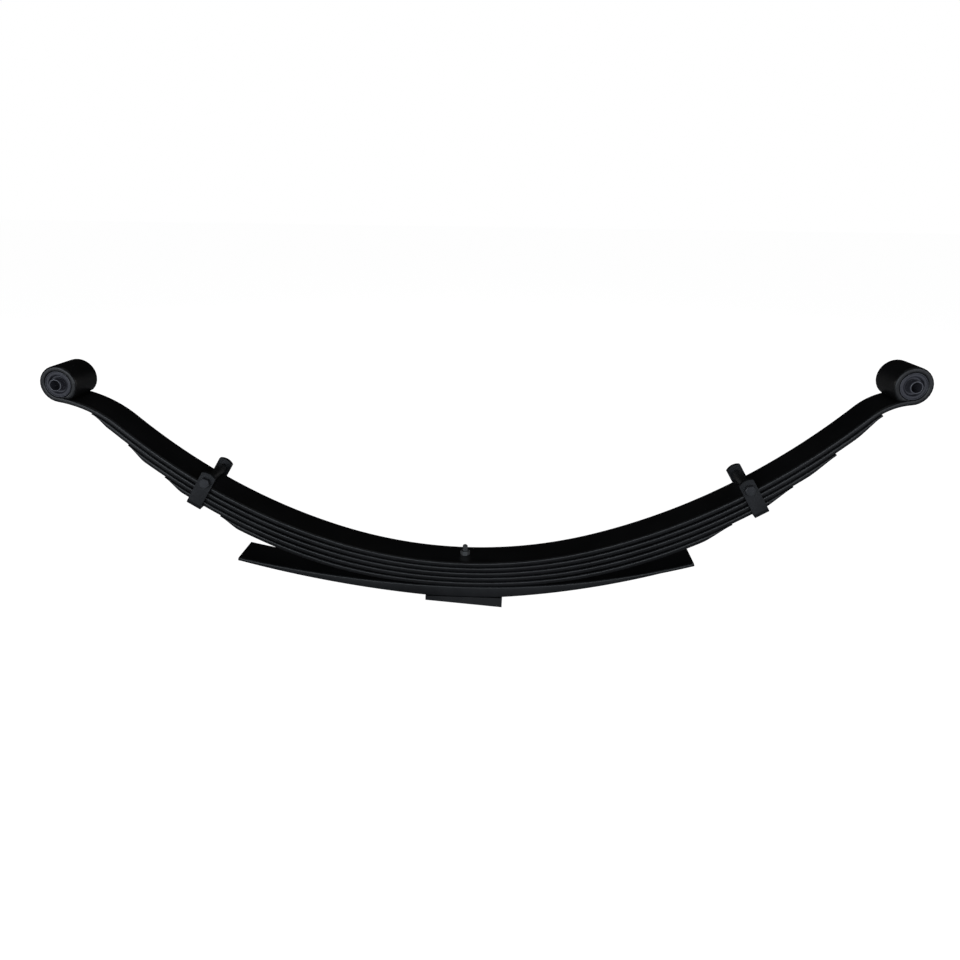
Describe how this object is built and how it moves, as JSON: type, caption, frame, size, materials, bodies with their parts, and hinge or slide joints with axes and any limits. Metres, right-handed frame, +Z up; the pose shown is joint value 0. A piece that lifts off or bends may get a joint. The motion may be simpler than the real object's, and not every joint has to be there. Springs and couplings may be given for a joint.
{
  "type": "leaf spring",
  "caption": "Semi-elliptic multi-leaf suspension spring with rubber-bushed eyes, bolted rebound clips, an overload leaf and a tapered axle wedge on a centre bolt.",
  "frame": {"origin": "where the centre bolt's axis meets the axle seat under the wedge", "axes": "+X from the front eye to the rear eye, +Y across the leaves, +Z up along the centre bolt"},
  "size_m": [1.2609, 0.0964, 0.3894],
  "materials": {
    "leaf_paint": "satin black paint",
    "overload_paint": "satin black paint",
    "wedge_paint": "satin black paint over a machined taper",
    "centre_bolt_steel": "black-coated steel, worn at the corners",
    "bush_shell_steel": "black-coated pressed steel",
    "bush_rubber": "matt moulded rubber",
    "bush_sleeve_steel": "dark coated steel tube",
    "clip_strap_paint": "satin black paint",
    "clip_bolt_steel": "black-coated steel",
    "clip_spacer_steel": "satin black paint",
    "clip_rivet_steel": "satin black paint"
  },
  "bodies": {
    "pack": {"main_leaf": "leaf_paint", "leaf_2": "leaf_paint", "leaf_3": "leaf_paint", "leaf_4": "leaf_paint", "leaf_5": "leaf_paint", "overload_leaf": "overload_paint", "axle_wedge": "wedge_paint", "centre_bolt": "centre_bolt_steel", "centre_nut": "centre_bolt_steel"},
    "front_arm": {"front_bush_shell": "bush_shell_steel", "front_bush_rubber": "bush_rubber", "front_clip_strap": "clip_strap_paint", "front_clip_bolt": "clip_bolt_steel", "front_clip_nut": "clip_bolt_steel", "front_clip_spacer": "clip_spacer_steel", "front_clip_rivet": "clip_rivet_steel"},
    "front_sleeve": {"front_bush_sleeve": "bush_sleeve_steel"},
    "rear_arm": {"rear_bush_shell": "bush_shell_steel", "rear_bush_rubber": "bush_rubber", "rear_clip_strap": "clip_strap_paint", "rear_clip_bolt": "clip_bolt_steel", "rear_clip_nut": "clip_bolt_steel", "rear_clip_spacer": "clip_spacer_steel", "rear_clip_rivet": "clip_rivet_steel"},
    "rear_sleeve": {"rear_bush_sleeve": "bush_sleeve_steel"}
  },
  "joints": [
    {"name": "front_arm_flex", "type": "hinge", "parent": "pack", "child": "front_arm", "pos_m": [-0.21, 0, 0.082], "axis": [0, -1, 0], "range_deg": [-3, 16], "stiffness_Nm_per_rad": 5200, "deforming": ["main_leaf", "leaf_2", "leaf_3", "leaf_4", "leaf_5"]},
    {"name": "rear_arm_flex", "type": "hinge", "parent": "pack", "child": "rear_arm", "pos_m": [0.21, 0, 0.082], "axis": [0, 1, 0], "range_deg": [-3, 16], "stiffness_Nm_per_rad": 5200, "deforming": ["main_leaf", "leaf_2", "leaf_3", "leaf_4", "leaf_5"]},
    {"name": "front_bush_twist", "type": "hinge", "parent": "front_arm", "child": "front_sleeve", "pos_m": [-0.59026, 0, 0.32923], "axis": [0, 1, 0], "range_deg": [-25, 25], "stiffness_Nm_per_rad": 115},
    {"name": "rear_bush_twist", "type": "hinge", "parent": "rear_arm", "child": "rear_sleeve", "pos_m": [0.61704, 0, 0.35511], "axis": [0, 1, 0], "range_deg": [-25, 25], "stiffness_Nm_per_rad": 115}
  ]
}
